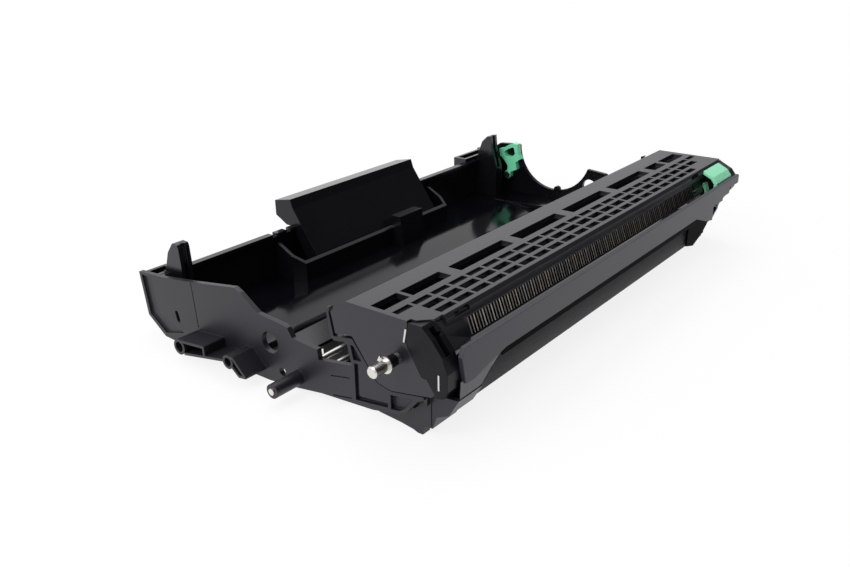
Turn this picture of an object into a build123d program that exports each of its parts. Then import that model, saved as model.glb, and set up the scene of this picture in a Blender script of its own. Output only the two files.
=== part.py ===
from build123d import *
from math import cos, sin, radians, pi, hypot
import os

# Drum unit of a desktop laser printer, in millimetres.
# While it is drawn, X runs along the drum, Y points from the drum towards the handle
# and Z = 0 is the top of the drum cover. Every piece moves to the bottom centre at the end.

# Overall size of the mouldings
PLATE_T = 2.5           # side plates
WALL_T = 2.0            # other moulded walls
RIB_T = 1.2             # thin ribs and webs
REST_Z = -50.0          # plane the unit rests on
SEAM = 0.3              # gap between two mouldings that meet
FIT = 0.05              # radial clearance of a turning fit
SNUG = 0.03             # radial clearance of parts that turn together

# Photoconductor drum
DRUM_Y = -24.4
DRUM_Z = -17.5
DRUM_D = 24.0
DRUM_WALL = 0.8
DRUM_LEN = 240.0
NEAR_END = 12.0         # near plate's outer face to the tube
FAR_END = 38.0          # tube to the far plate's outer face, with the gears
SHAFT_D = 5.0
SHAFT_TIP_D = 4.9       # ground end that locates the unit
SHAFT_OUT = 13.8        # shaft end beyond the near plate
SHAFT_GROOVE = 1.6      # clip's groove, its outer edge beyond the near plate
TIP_CHAMFER = 0.4

# Transfer roller
FOAM_D = 17.0
FOAM_NEAR_IN = 10.0     # foam inside the near end of the tube
FOAM_FAR_IN = 9.0       # foam inside the far end of the tube
NIP_GAP = 0.3           # foam to drum
NIP_ANGLE = 27.0        # nip, measured forward from straight below the drum
ROLLER_SHAFT_D = 5.0

# Gears on the drum flange and on the transfer roller
GEAR_MODULE = 0.8
DRUM_TEETH = 32
GEAR_W = 12.0
GEAR_GAP = 1.0          # tube end to gear

# Top cover
COVER_T = 2.4
COVER_FRONT_Y = -38.2
VENT_PITCH = 12.0       # cross ribs of the two middle rows
EDGE_PITCH = 11.8       # cross ribs of the front row
VENT_RIB = 1.6
SLOT_PITCH = 48.0       # main cross ribs

# Corona charger
COMB_PITCH = 2.0
COMB_SLOT = 1.1
COMB_NEAR_IN = 23.0     # comb inside the near plate's outer face
COMB_FAR_IN = 46.0      # comb inside the far plate's outer face
WIRE_D = 0.3
GRID_T = 0.4
WIRE_DIST = 15.8        # wire to drum axis
GRID_DIST = 14.0        # grid to drum axis
GRID_W = 6.4
GRID_PITCH = 4.0
HOLDER_W = 8.0          # near block that holds the wire
FAR_HOLDER_W = 5.0
WIRE_SEAT = 1.5         # wire ends inside the blocks
CORONA_ANGLE = 25.0     # charger, measured upward from straight in front of the drum

# Front guide, a plain bar in front of the charger
GUIDE_Y = -51.0
GUIDE_T = 2.0
GUIDE_TOP_Z = -8.3
GUIDE_LOW_Z = -19.0

# Cleaner tab on the charger
CLEANER_FAR_IN = 6.0    # tab inside the far plate's outer face, at rest
CLEANER_W = 23.0

# Tray that holds the toner cartridge
REAR_Y = 126.7          # back of the rear wall
RIM_Z = -19.2
RIM_W = 3.9             # rolled rim of the rear wall
RIM_H = 2.0
RIM_NOTCHES = (-70.0, -60.0)
RIDGE_Y = 33.5
RIDGE_Z = -24.5
FLOOR_Z = -44.0
FLOOR_T = 2.5
RUNNERS = 9             # thin runners under the floor that stand on the table
RUNNER_IN = 33.0
SHELF_W = 25.0          # raised shelf at the gear end, from the outer face
SHELF_Z = -37.4
BOX_Y = 136.5           # back of the corner boxes
BOX_W = 12.0            # near corner box
FAR_BOX_W = 32.0        # corner box at the gear end
FAR_BOX_Z = -16.7
BOX_LOW_Z = -38.0

# Handle on the rear wall
HANDLE_W = 106.0
POCKET_W = 134.0
POCKET_Y = 105.6
POCKET_Z = -34.0

# Steel shafts at the paper entry
PINCH_D = 3.0
PINCH_Y, PINCH_Z = 15.5, -35.4
STAY_D = 3.0
STAY_Y, STAY_Z = 18.7, -31.9
ENTRY_SHAFT_IN = 3.5    # shaft ends inside the outer faces
BUSH_X = 17.0           # bushes inside the outer faces

# Bearings of the transfer roller
BEARING_W = 6.4
BEARING_UP = 3.8
BEARING_LOW = 3.4
BEARING_T = 5.6
SILL_Z = -44.3
SPRING_D = 2.6
SPRING_WIRE = 0.5
GUIDE_RIB_PITCH = 11.0  # ribs on the paper guide
RIBS_NEAR_IN = 24.0

TONGUE_T = 2.0          # snap tongue of the cover
END_NEAR_IN = 20.5      # inner ends of the lower frame's end boxes, inside the outer faces
END_FAR_IN = 24.0
FAR_WALL_IN = 14.8      # far inner wall inside the far plate's outer face
FOOT_W = 4.5
SHIELD_T = 0.8          # front walls of the end boxes
CHEEK_T = 1.6           # their inner walls

UNIT_W = NEAR_END + DRUM_LEN + FAR_END
X_NEAR = -UNIT_W / 2
X_FAR = UNIT_W / 2
DRUM_X0 = X_NEAR + NEAR_END
DRUM_X1 = DRUM_X0 + DRUM_LEN
FOAM_X0 = DRUM_X0 + FOAM_NEAR_IN
FOAM_X1 = DRUM_X1 - FOAM_FAR_IN
COMB_X0 = X_NEAR + COMB_NEAR_IN
COMB_LEN = UNIT_W - COMB_NEAR_IN - COMB_FAR_IN
CLEANER_X0 = X_FAR - CLEANER_FAR_IN - CLEANER_W
SHELF_X = X_FAR - SHELF_W
GEAR_X0 = DRUM_X1 + GEAR_GAP
CENTRE_DIST = DRUM_D / 2 + FOAM_D / 2 + NIP_GAP
ROLLER_TEETH = round(2 * CENTRE_DIST / GEAR_MODULE) - DRUM_TEETH
ROLLER_Y = DRUM_Y - CENTRE_DIST * sin(radians(NIP_ANGLE))
ROLLER_Z = DRUM_Z - CENTRE_DIST * cos(radians(NIP_ANGLE))


INNER_X = X_FAR - PLATE_T - TONGUE_T - SEAM     # near inner wall's outer face, as a distance from the middle
FAR_WALL_X = X_FAR - FAR_WALL_IN


def ordered(a, b):
    return (min(a, b), max(a, b))


def prism_x(points, x0, x1):
    """A (y, z) outline that runs from x0 to x1."""
    face = make_face(Polyline(*points, close=True))
    return extrude(Plane.YZ.offset(x0) * face, x1 - x0)


def prism_y(points, y0, y1):
    """An (x, z) outline that runs from y0 to y1."""
    face = make_face(Polyline(*points, close=True))
    plane = Plane(origin=(0, y1, 0), x_dir=(1, 0, 0), z_dir=(0, -1, 0))
    return extrude(plane * face, y1 - y0)


def prism_z(points, z0, z1):
    """An (x, y) outline that runs from z0 to z1."""
    face = make_face(Polyline(*points, close=True))
    return extrude(Plane.XY.offset(z0) * face, z1 - z0)


def block(x0, x1, y0, y1, z0, z1):
    size = (x1 - x0, y1 - y0, z1 - z0)
    return Pos((x0 + x1) / 2, (y0 + y1) / 2, (z0 + z1) / 2) * Box(*size)


def rod_x(y, z, radius, x0, x1):
    return Pos((x0 + x1) / 2, y, z) * Rotation(0, 90, 0) * Cylinder(radius, abs(x1 - x0))


def strip_x(p, q, thick, x0, x1):
    """A flat wall on the (y, z) line from p to q."""
    length = hypot(q[0] - p[0], q[1] - p[1])
    dy, dz = (q[0] - p[0]) / length, (q[1] - p[1]) / length
    oy, oz = -dz * thick / 2, dy * thick / 2
    corners = [(p[0] + oy, p[1] + oz), (q[0] + oy, q[1] + oz),
               (q[0] - oy, q[1] - oz), (p[0] - oy, p[1] - oz)]
    return prism_x(corners, x0, x1)


def polar(distance, degrees):
    """A (y, z) point seen from the drum axis, 0 degrees in front and 90 above."""
    a = radians(degrees)
    return (DRUM_Y - distance * cos(a), DRUM_Z + distance * sin(a))


# Outlines of the side plates, as (y, z)
COVER_NEAR_TIP = [(-43.0, -27.0), (-41.5, -28.5)]
COVER_FAR_TIP = [(-41.6, -25.9), (-41.0, -28.6)]
COVER_LOWER = [(-33.5, -30.0), (-22.0, -32.0), (-18.5, -31.5),
               (-15.5, -30.8), (-13.5, -29.3), (-11.0, -25.5), (-2.5, -14.2), (1.0, -14.6),
               (6.5, -15.5), (8.5, -6.5), (6.0, -4.0), (0.0, 0.0)]
HOLDER_SEAM = [(-30.5, 0.0), (-30.5, -2.0), (-29.0, -8.0), (-31.0, -12.0), (-37.0, -21.5),
               (-39.5, -21.7)]
FRAME_UPPER = [(-33.6, -30.4), (-22.0, -32.4), (-18.4, -31.9),
               (-15.3, -31.2), (-13.1, -29.6), (-10.7, -25.8), (-2.4, -15.4), (1.4, -16.0),
               (7.6, -17.0), (9.6, -7.0), (9.0, -4.6), (11.0, -5.3), (10.8, -7.5),
               (9.4, -17.9), (7.4, -18.9), (2.1, -17.9), (0.4, -18.4), (-1.5, -27.5),
               (17.0, -30.6), (17.5, -26.0)]
FRAME_LOWER = [(136.5, -19.0), (133.5, -41.0), (122.0, -49.5), (114.5, REST_Z), (48.0, REST_Z),
               (32.0, -48.3), (16.5, -46.0), (-12.0, -44.0)]
NEAR_FRONT = [(-20.3, -42.2), (-25.9, -41.1), (-29.4, -39.0), (-34.4, -32.9), (-37.8, -30.9),
              (-37.6, -29.7)]
FAR_FRONT = [(-27.0, -45.0), (-31.5, -45.0), (-34.0, -41.0), (-36.3, -39.6), (-38.0, -37.5),
             (-40.5, -31.0), (-40.8, -29.1)]
NEAR_TOP = [(32.0, -25.0), (34.5, -21.0), (36.0, -20.4), (52.5, -19.0), (63.0, -12.0),
            (66.5, -10.5), (96.0, -15.0), (119.5, -18.0)]
FAR_TOP = [(32.0, -25.0), (34.5, -20.5), (48.0, -19.3), (104.0, -9.5), (117.0, -10.5),
           (120.0, -12.5), (121.0, -18.5), (REAR_Y, -18.5), (REAR_Y, FAR_BOX_Z), (136.8, FAR_BOX_Z)]
TONER_CUT_Y, TONER_CUT_Z, TONER_CUT_R = 73.6, -10.0, 27.3
GUIDE_HOLE_Y, GUIDE_HOLE_Z, GUIDE_HOLE_R = 46.0, -31.0, 5.0

# Slots of the near plate beside the cover's tongue and two fine lines, as (y, z)
NEAR_POCKETS = [
    [(-1.2, -18.2), (-3.0, -18.4), (-7.0, -24.0), (-2.6, -24.6)],
    [(-2.9, -25.8), (-2.9, -42.5), (-19.9, -40.3), (-19.9, -38.3), (-5.0, -40.0), (-5.0, -25.8)],
    [(-21.3, -34.0), (-21.3, -40.4), (-25.5, -39.8), (-28.4, -37.8), (-32.4, -33.0), (-31.6, -32.4)],
]
NEAR_SLITS = [((10.5, -35.6), (0.0, -33.5)), ((9.8, -44.5), (-0.7, -42.5))]

# Bosses that stand out of the near plate
BOSS_OUT = 12.0
BOSS_1 = (94.7, -42.6, 3.8, 2.5)        # y, z, radius, bore radius
BOSS_2 = (60.9, -40.0, 3.3, 2.1)
PIN_BOSS = (29.5, -42.5, 3.25, 1.5)
PIN_BOSS_OUT = 15.5


# Underside of the short slope from the trough's ridge to the paper entry, as (y, z)
APRON = [(RIDGE_Y, RIDGE_Z), (RIDGE_Y - 1.2, RIDGE_Z - FLOOR_T), (24.0, -30.2)]

# Comb in front of the corona wire, its outer face as two (y, z) points
COMB_HIGH = (-39.5, -4.6)
COMB_LOW = (-42.5, -12.7)

BUSH_R = 3.0

# Lock lever for the toner cartridge
LEVER_Y, LEVER_Z = 108.0, -31.0
LEVER_PIN_D = 2.4


def side_plate_blank(top, front, x0, x1):
    """Tray side plate, over the top to the rear, then along the bottom to the front."""
    plate = prism_x(FRAME_UPPER + top + FRAME_LOWER + front, x0, x1)
    return plate - rod_x(GUIDE_HOLE_Y, GUIDE_HOLE_Z, GUIDE_HOLE_R, x0 - 1, x1 + 1)


def near_plate():
    plate = side_plate_blank(NEAR_TOP, NEAR_FRONT, X_NEAR, X_NEAR + PLATE_T)
    plate -= rod_x(39.5, -43.2, 2.0, X_NEAR - 1, X_NEAR + PLATE_T + 1)
    recess = [(134.6, -20.0), (131.6, -40.2), (121.0, -47.5), (106.5, -43.5), (124.0, -37.0),
              (126.5, -20.0)]
    plate -= prism_x(recess, X_NEAR - 1, X_NEAR + 1.2)
    for pocket_face in NEAR_POCKETS:
        plate -= prism_x(pocket_face, X_NEAR - 1, X_NEAR + 1.8)
    for p, q in NEAR_SLITS:
        plate -= strip_x(p, q, 0.6, X_NEAR - 1, X_NEAR + 0.6)
    seam = [(97.0, -15.6), (96.5, -15.5), (94.6, -37.5), (95.1, -37.5)]
    plate -= prism_x(seam, X_NEAR - 1, X_NEAR + 0.6)
    slot = extrude(SlotOverall(6.0, 2.4), 8, both=True)
    plate -= Pos(X_NEAR, 110.0, -36.0) * Rotation(0, 90, 0) * Rotation(0, 0, -15) * slot
    return plate + near_bosses()


def far_plate():
    plate = side_plate_blank(FAR_TOP, FAR_FRONT, X_FAR - PLATE_T, X_FAR)
    plate -= rod_x(TONER_CUT_Y, TONER_CUT_Z, TONER_CUT_R, X_FAR - PLATE_T - 1, X_FAR + 1)
    plate += rod_x(70.6, -36.8, 2.2, X_FAR - PLATE_T, X_FAR)
    return plate - rod_x(LEVER_Y, LEVER_Z, LEVER_PIN_D / 2, X_FAR - PLATE_T - 1, X_FAR + 1)


def floor():
    """Trough for the toner cartridge, a thin shell from the ridge to the rear wall."""
    x0, x1 = X_NEAR + PLATE_T, X_FAR - PLATE_T
    top = (ThreePointArc((RIDGE_Y, RIDGE_Z), (64.0, -40.0), (98.0, FLOOR_Z))
           + Line((98.0, FLOOR_Z), (REAR_Y - WALL_T, FLOOR_Z)))
    low = (Line((REAR_Y - WALL_T, FLOOR_Z), (REAR_Y - WALL_T, FLOOR_Z - FLOOR_T))
           + Line((REAR_Y - WALL_T, FLOOR_Z - FLOOR_T), (98.0, FLOOR_Z - FLOOR_T))
           + ThreePointArc((98.0, FLOOR_Z - FLOOR_T), (63.0, -42.6), (RIDGE_Y - 1.2, RIDGE_Z - FLOOR_T))
           + Line((RIDGE_Y - 1.2, RIDGE_Z - FLOOR_T), (RIDGE_Y, RIDGE_Z)))
    shell = extrude(Plane.YZ.offset(x0) * make_face(top + low), x1 - x0)
    shell += prism_x(APRON + [(23.0, -28.2)], x0, x1)
    pitch = (UNIT_W - 2 * RUNNER_IN) / (RUNNERS - 1)
    for i in range(RUNNERS):
        x = X_NEAR + RUNNER_IN + pitch * i
        foot = [(46.0, -38.5), (60.0, -43.0), (80.0, -45.6), (98.0, FLOOR_Z - 2.0), (120.0, FLOOR_Z - 2.0),
                (116.0, REST_Z), (52.0, REST_Z), (40.0, -44.0), (38.0, -35.0)]
        shell += prism_x(foot, x - RIB_T / 2, x + RIB_T / 2)
    shell += far_shelf()
    shell -= rod_x(GUIDE_HOLE_Y, GUIDE_HOLE_Z, GUIDE_HOLE_R, X_NEAR - 1, X_NEAR + 9.0)
    return shell - rod_x(GUIDE_HOLE_Y, GUIDE_HOLE_Z, GUIDE_HOLE_R, X_FAR - 9.0, X_FAR + 1)


def far_shelf():
    """Raised shelf at the gear end of the trough, under the far plate's cut-out."""
    x1 = X_FAR - PLATE_T
    outline = [(52.0, -34.0), (58.0, SHELF_Z), (108.0, SHELF_Z), (108.0, FLOOR_Z), (98.0, FLOOR_Z),
               (80.0, FLOOR_Z + 1.0), (64.0, -40.4), (52.0, -36.0)]
    shelf = prism_x(outline, SHELF_X, x1)
    hollow = [(60.0, SHELF_Z - WALL_T), (106.0, SHELF_Z - WALL_T), (106.0, FLOOR_Z - 4.0), (80.0, FLOOR_Z - 4.0),
              (64.0, -44.0)]
    return shelf - prism_x(hollow, SHELF_X + WALL_T, x1)


def rear_wall():
    x0, x1 = X_NEAR + PLATE_T, X_FAR - PLATE_T
    wall = block(x0, x1, REAR_Y - WALL_T, REAR_Y, FLOOR_Z - FLOOR_T, RIM_Z)
    wall += block(x0, x1, REAR_Y - RIM_W, REAR_Y, RIM_Z - RIM_H, RIM_Z)
    for x in RIM_NOTCHES:
        wall -= block(x, x + 3.0, REAR_Y - RIM_W - 1, REAR_Y + 1, RIM_Z - 1.4, RIM_Z + 1)
    for side, width, top in ((-1, BOX_W, RIM_Z + 0.2), (1, FAR_BOX_W, FAR_BOX_Z)):
        inner = side * (X_FAR - width)
        lo, hi = ordered(inner, inner - side * WALL_T)
        wall += block(lo, hi, REAR_Y, BOX_Y - WALL_T, BOX_LOW_Z, top)
        lo, hi = ordered(inner - side * WALL_T, side * (X_FAR - PLATE_T))
        wall += block(lo, hi, BOX_Y - 2 * WALL_T, BOX_Y - WALL_T, BOX_LOW_Z, top)
        wall += block(lo, hi, REAR_Y - WALL_T, REAR_Y, RIM_Z - 1.0, top)
        wall += guide_fin(side)
    grip = prism_x(GRIP_OUTER, -HANDLE_W / 2, HANDLE_W / 2)
    return wall - grip


def guide_fin(side):
    """Tapered post that guides the toner cartridge, rooted on the floor."""
    if side < 0:
        face = [(123.4, -17.8), (119.7, -7.4), (115.6, -2.2), (112.1, -2.4), (111.4, -3.9),
                (110.7, -13.2), (110.6, FLOOR_Z), (REAR_Y - WALL_T, FLOOR_Z), (REAR_Y - WALL_T, -17.8)]
        x0, x1 = X_NEAR + 6.0, X_NEAR + 12.5
    else:
        face = [(124.9, -18.0), (120.7, -6.6), (116.5, -2.5), (113.4, -2.1), (112.6, -10.5),
                (111.1, -15.1), (108.7, -23.5), (108.7, FLOOR_Z), (124.9, FLOOR_Z)]
        x0, x1 = X_FAR - 20.0, X_FAR - 13.0
    fin = prism_x(face, x0, x1)
    front = face[3:7]
    deep = [(y + 1.6, z) for y, z in reversed(front)]
    groove = [(y - 0.5, z) for y, z in front] + deep
    return fin - prism_x(groove, x0 + 2.0, x1 - 2.4)


GRIP_OUTER = [(108.0, -32.7), (124.3, -9.3), (126.0, -4.3), (138.0, -6.6), (138.0, -15.0), (130.0, -19.4),
              (126.0, -19.4), (111.5, FLOOR_Z), (108.0, FLOOR_Z)]
GRIP_INNER = [(110.4, -33.2), (126.4, -10.2), (127.6, -6.8), (139.0, -8.9), (139.0, -20.5), (126.7, -20.5),
              (112.8, -43.5), (110.4, -43.5)]


def handle():
    """Slanted grip, hollow from behind, and the low wall of the pocket it stands in."""
    half = HANDLE_W / 2
    grip = prism_x(GRIP_OUTER, -half, half) - prism_x(GRIP_INNER, -half + WALL_T, half - WALL_T)
    return grip + pocket()


def pocket():
    """Low wall in front of the grip, with its ends turned back to the rear wall."""
    half = POCKET_W / 2
    wall_y = REAR_Y - WALL_T
    outer = [(-half, wall_y), (-half, POCKET_Y + 7.0), (-half + 3.5, POCKET_Y), (half - 3.5, POCKET_Y),
             (half, POCKET_Y + 7.0), (half, wall_y)]
    inner = [(-half + WALL_T, wall_y), (-half + WALL_T, POCKET_Y + 7.4), (-half + 4.8, POCKET_Y + WALL_T),
             (half - 4.8, POCKET_Y + WALL_T), (half - WALL_T, POCKET_Y + 7.4), (half - WALL_T, wall_y)]
    wall = prism_z(outer, FLOOR_Z, RIM_Z) - prism_z(inner, FLOOR_Z, RIM_Z)
    over = [(POCKET_Y - 1, POCKET_Z), (POCKET_Y, POCKET_Z), (wall_y, -23.8), (wall_y, RIM_Z + 1),
            (POCKET_Y - 1, RIM_Z + 1)]
    wall -= prism_x(over, -half - 1, half + 1)
    for x0 in (-half, half - WALL_T):
        wall += block(x0, x0 + WALL_T, REAR_Y - RIM_W - 1.0, wall_y, FLOOR_Z, -26.0)
    plinth = block(-HANDLE_W / 2, HANDLE_W / 2, POCKET_Y, GRIP_OUTER[-2][0], FLOOR_Z, FLOOR_Z + 1.0)
    stop = [(98.0, FLOOR_Z), (100.6, -26.5), (107.0, -26.5), (107.0, FLOOR_Z)]
    return wall + plinth + prism_x(stop, 10.0, 31.0)


def near_bosses():
    """Tubes and webs on the outside of the near plate."""
    x0, x1 = X_NEAR - BOSS_OUT, X_NEAR
    body = rod_x(BOSS_1[0], BOSS_1[1], BOSS_1[2], x0, x1) + rod_x(BOSS_2[0], BOSS_2[1], BOSS_2[2], x0, x1)
    webs = [((93.0, -39.4), (77.2, -37.8)), ((77.2, -37.3), (77.2, -42.5)),
            ((91.5, -45.2), (62.5, -39.8)), ((59.4, -37.4), (57.6, -37.4)), ((57.8, -37.2), (50.2, -44.6)),
            ((58.6, -41.6), (54.0, -45.2)), ((54.2, -45.0), (50.0, -44.4))]
    for p, q in webs:
        body += strip_x(p, q, RIB_T, x0, x1)
    body -= rod_x(BOSS_1[0], BOSS_1[1], BOSS_1[3], x0 - 1, x1 - 1)
    body -= rod_x(BOSS_2[0], BOSS_2[1], BOSS_2[3], x0 - 1, x1 - 1)
    pin = rod_x(PIN_BOSS[0], PIN_BOSS[1], PIN_BOSS[2], X_NEAR - PIN_BOSS_OUT, X_NEAR)
    pin -= rod_x(PIN_BOSS[0], PIN_BOSS[1], PIN_BOSS[3] + SNUG, X_NEAR - PIN_BOSS_OUT - 1, X_NEAR)
    return body + pin


# Lower frame's end boxes, as (y, z)
NEAR_SHELL = [(-50.5, -29.3), (-46.0, -37.0), (-40.0, -40.0), (-38.0, -45.6)]
FAR_SHELL = [(-41.2, -29.2), (-41.0, -33.2), (-39.6, -36.0), (-36.9, -41.6), (-36.4, -43.4), (-35.4, -45.6)]
NEAR_FOOT = [(-8.0, -42.4), (-8.0, -45.3), (-11.0, -47.4), (-22.5, -48.3), (-28.5, -49.2), (-30.6, REST_Z),
             (-33.2, REST_Z), (-33.4, -47.0), (-36.0, -44.6)]
FAR_FOOT = [(-20.0, -44.6), (-26.0, REST_Z), (-31.9, REST_Z), (-34.6, -47.0), (-35.2, -44.6)]


def front_end(side):
    """End of the lower frame: inner wall, groove for the cover's tongue, sill and foot."""
    depth = END_FAR_IN if side > 0 else END_NEAR_IN
    shell = FAR_SHELL if side > 0 else NEAR_SHELL
    wall = shell[::-1] + [(-33.6, -30.4), (-22.0, -32.4), (-18.4, -31.9), (-13.1, -29.6), (-10.7, -25.8),
                          (-7.0, -21.5), (-4.0, -21.5), (-4.0, -44.0), (-12.0, -44.0), (-27.5, -46.0)]
    inner = FAR_WALL_X if side > 0 else INNER_X
    x0, x1 = ordered(side * (inner - WALL_T), side * inner)
    end = prism_x(wall, x0, x1)
    end -= block(x0 - 1, x1 + 1, ROLLER_Y - BEARING_W / 2, ROLLER_Y + BEARING_W / 2,
                 SILL_Z, ROLLER_Z + BEARING_UP)
    bridge = [(-4.0, -42.0), (-4.0, -44.0), (-13.0, -44.0), (-13.0, -42.0)]
    x0, x1 = ordered(side * (inner - WALL_T), side * (X_FAR - PLATE_T))
    end += prism_x(bridge, x0, x1)
    sill = [(-20.0, -41.5), (-20.0, -45.4), (-27.5, -46.0), (shell[-1][0], -45.6), (shell[-1][0], SILL_Z),
            (-22.0, SILL_Z), (-22.0, -41.5)]
    x0, x1 = ordered(side * (X_FAR - depth + 1.4), side * inner)
    end += prism_x(sill, x0, x1)
    foot = FAR_FOOT if side > 0 else NEAR_FOOT
    inset = END_FAR_IN if side > 0 else X_FAR - INNER_X + FOOT_W
    x0, x1 = ordered(side * (X_FAR - inset), side * (X_FAR - inset + FOOT_W))
    end += prism_x(foot, x0, x1)
    back = [(y + SHIELD_T, z) for y, z in reversed(shell)]
    x0, x1 = ordered(side * (X_FAR - depth), side * inner)
    end += prism_x(shell + back, x0, x1)
    cheek = shell + [(-20.0, -45.4), (-20.0, -41.5), (-27.0, -32.6), (-33.6, -30.8)]
    x0, x1 = ordered(side * (X_FAR - depth), side * (X_FAR - depth + CHEEK_T))
    end += prism_x(cheek, x0, x1)
    return end - rod_x(ROLLER_Y, ROLLER_Z, ROLLER_SHAFT_D / 2 + 1.5, x0 - 1, x1 + 1)


def paper_guide():
    """Hollow cross member under the drum, with ribs on top that carry the paper to the nip."""
    x0, x1 = -INNER_X, FAR_WALL_X
    shell = [(-4.0, -38.5), (-18.0, -36.4), (-21.5, -38.0), (-21.5, -44.5), (-19.7, -44.5),
             (-19.7, -39.0), (-17.6, -38.2), (-5.8, -40.3), (-5.8, -44.0), (-4.0, -44.0)]
    body = prism_x(shell, x0, x1)
    rib = [(-4.5, -39.5), (-4.0, -37.4), (-17.6, -35.0), (-21.0, -36.6), (-21.0, -39.0), (-17.0, -38.0)]
    for i in range(int((DRUM_LEN + 2.0) / GUIDE_RIB_PITCH) + 1):
        x = X_NEAR + RIBS_NEAR_IN + GUIDE_RIB_PITCH * i
        body += prism_x(rib, x - RIB_T / 2, x + RIB_T / 2)
    return body


def lower_frame():
    return paper_guide() + front_end(-1) + front_end(1)


def entry_rib(side):
    """Plate under the apron that carries the bushes of the two steel shafts."""
    outline = [(23.8, -30.45), (32.1, RIDGE_Z - FLOOR_T - 0.2), (31.0, -40.0), (24.0, -44.5), (9.0, -44.5),
               (9.0, -33.0), (14.0, -27.5), (20.0, -27.5), (22.7, -28.2)]
    x0, x1 = ordered(side * (X_FAR - BUSH_X), side * (X_FAR - BUSH_X - WALL_T))
    rib = prism_x(outline, x0, x1)
    rib -= rod_x(PINCH_Y, PINCH_Z, BUSH_R, x0 - 1, x1 + 1)
    rib -= rod_x(STAY_Y, STAY_Z, STAY_D / 2, x0 - 1, x1 + 1)
    brace = [(24.0, -44.5), (24.0, -42.5), (9.0, -42.5), (9.0, -44.5)]
    x0, x1 = ordered(side * (X_FAR - PLATE_T), side * (X_FAR - BUSH_X))
    return rib + prism_x(brace, x0, x1)


def vent_cuts():
    """Open slots of the top cover and the shallow row behind the two front rows."""
    cuts = []
    near, far = X_NEAR + PLATE_T + 0.1, X_FAR - PLATE_T - 0.1
    slots = [(near, X_NEAR + 18.2), (X_NEAR + 20.2, X_NEAR + 45.8), (X_FAR - 45.8, X_FAR - 30.0),
             (X_FAR - 26.5, X_FAR - 4.6)]
    for i in range(4):
        left = (i - 2) * SLOT_PITCH + 3.5
        slots.append((left, left + SLOT_PITCH - 7.0))
    for x0, x1 in slots:
        cuts.append(block(x0, x1, -17.5, -10.5, -COVER_T - 1, 1))
    half_count = int(far / VENT_PITCH) + 1
    for i in range(-half_count, half_count):
        x0 = max(i * VENT_PITCH + VENT_RIB / 2, near)
        x1 = min((i + 1) * VENT_PITCH - VENT_RIB / 2, far)
        cuts.append(block(x0, x1, -24.2, -21.2, -1.2, 1))
        if x0 > near and x1 < far - 6.0:
            cuts.append(block(x0, x1, -30.2, -26.4, -COVER_T - 1, 1))
    for i in range(int((UNIT_W - 42.0) / EDGE_PITCH)):
        x0 = X_NEAR + 13.0 + i * EDGE_PITCH + VENT_RIB / 2
        cuts.append(block(x0, x0 + EDGE_PITCH - VENT_RIB, -36.0, -32.6, -COVER_T - 1, 1))
    return cuts


def comb():
    """Leaning wall of thin upright ribs in front of the corona wire."""
    low, high = COMB_LOW, COMB_HIGH
    height = hypot(high[0] - low[0], high[1] - low[1])
    count = int((COMB_LEN - 2.0) / COMB_PITCH)
    sketch = Rectangle(COMB_LEN, height)
    sketch -= GridLocations(COMB_PITCH, 1, count, 1) * Rectangle(COMB_SLOT, height - 1.6)
    mid = (COMB_X0 + COMB_LEN / 2, (low[0] + high[0]) / 2, (low[1] + high[1]) / 2)
    normal = (0, -(high[1] - low[1]), high[0] - low[0])
    return extrude(Plane(origin=mid, x_dir=(1, 0, 0), z_dir=normal) * sketch, -RIB_T)


def drum_cover():
    x0, x1 = X_NEAR + PLATE_T, X_FAR - PLATE_T
    slab = [(COVER_FRONT_Y, 0.0), (0.0, 0.0), (6.0, -4.0), (8.5, -6.5), (6.5, -15.5), (4.5, -15.1),
            (6.3, -7.2), (5.0, -5.9), (-0.7, -COVER_T), (COVER_FRONT_Y + 0.2, -COVER_T),
            (COMB_HIGH[0] + 1.1, COMB_HIGH[1] - 0.8), (COMB_HIGH[0] - 0.1, COMB_HIGH[1] - 0.4), (-39.6, -1.6)]
    cover = prism_x(slab, x0, x1)
    for cut in vent_cuts():
        cover -= cut
    corner = [(X_NEAR - 1, -30.8), (X_NEAR + 0.4, -30.8), (X_NEAR + 7.2, -37.6), (X_NEAR + 12.4, -37.6),
              (X_NEAR + 12.4, -45.0), (X_NEAR - 1, -45.0)]
    cover -= prism_z(corner, -10.0, 1.0)
    for x in (X_NEAR + 17.6, X_FAR - 45.4):
        cover -= block(x, x + 10.0, -45.0, COVER_FRONT_Y + 0.8, -COVER_T - 0.4, -0.5)
    for side in (-1, 1):
        x0, x1 = ordered(side * (X_FAR - PLATE_T), side * X_FAR)
        tip = COVER_FAR_TIP if side > 0 else COVER_NEAR_TIP
        cover += prism_x(tip + COVER_LOWER + HOLDER_SEAM, x0, x1)
        x0, x1 = ordered(side * (X_FAR - PLATE_T - TONGUE_T), side * (X_FAR - PLATE_T))
        tongue = [(-2.5, -2.0), (-29.0, -2.0), (-28.0, -8.0), (-30.0, -12.0), (-36.0, -21.5),
                  (-38.0, -27.0), (-37.0, -36.0), (-28.0, -39.0), (-12.0, -38.0), (-9.0, -24.0),
                  (-2.5, -14.2)]
        cover += prism_x(tongue, x0, x1)
    cover += block(X_FAR - PLATE_T, X_FAR, COVER_FRONT_Y, HOLDER_SEAM[0][0], -COVER_T, 0.0)
    cover += comb()
    slot = rod_x(ROLLER_Y, ROLLER_Z, ROLLER_SHAFT_D / 2 + 1.0, -X_FAR, X_FAR)
    cover -= slot
    cover -= rod_x(DRUM_Y, DRUM_Z, SHAFT_D / 2, X_NEAR - 1, X_FAR + 1)
    return cover


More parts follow.
